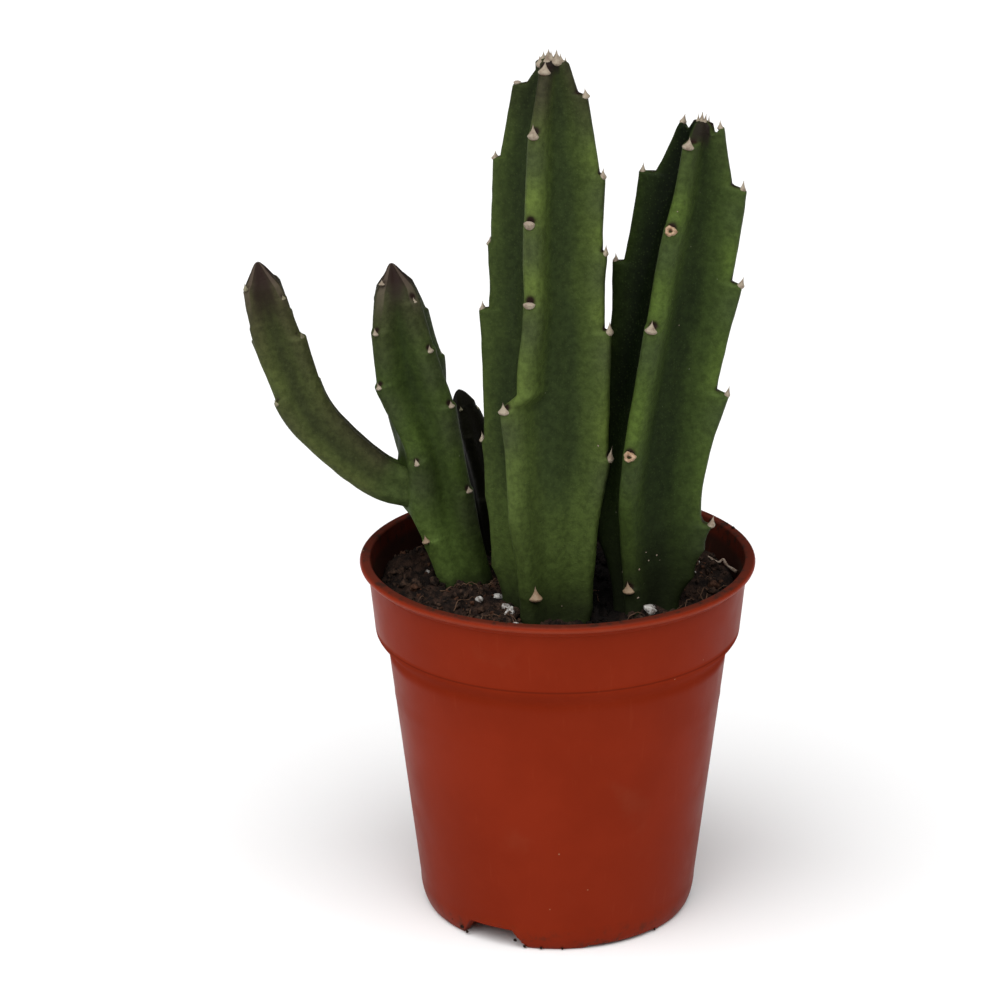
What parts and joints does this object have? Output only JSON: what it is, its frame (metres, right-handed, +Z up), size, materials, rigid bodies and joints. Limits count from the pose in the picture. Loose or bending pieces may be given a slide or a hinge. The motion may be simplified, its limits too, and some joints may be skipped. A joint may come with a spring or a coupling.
{
  "type": "potted stapelia",
  "caption": "Young carrion plant: upright ribbed succulent stems with toothed edges, standing in soil in a small tapered plastic nursery pot with a collar and a rolled lip.",
  "frame": {"origin": "middle of the footprint of the whole part, on the surface that the pot stands on; the pot's own axis stands 7.6 mm to +X of it, because the plant leans to -X", "axes": "+Z up along the pot's axis, -Y towards the viewer of the picture, +X to the viewer's right"},
  "size_m": [0.0702, 0.055, 0.1241],
  "materials": {
    "pot_plastic": "satin terracotta-red polypropylene, thin injection-moulded wall",
    "peat_soil": "loose dark brown peat crumbs, matt",
    "stem_flesh": "velvety matt green succulent skin with paler rib edges",
    "stem_flesh_dark": "velvety matt brown-black succulent skin"
  },
  "bodies": {
    "root": {"pot": "pot_plastic", "soil": "peat_soil", "stem_tall": "stem_flesh", "stem_right": "stem_flesh", "stem_left": "stem_flesh", "stem_back": "stem_flesh_dark"}
  },
  "joints": []
}
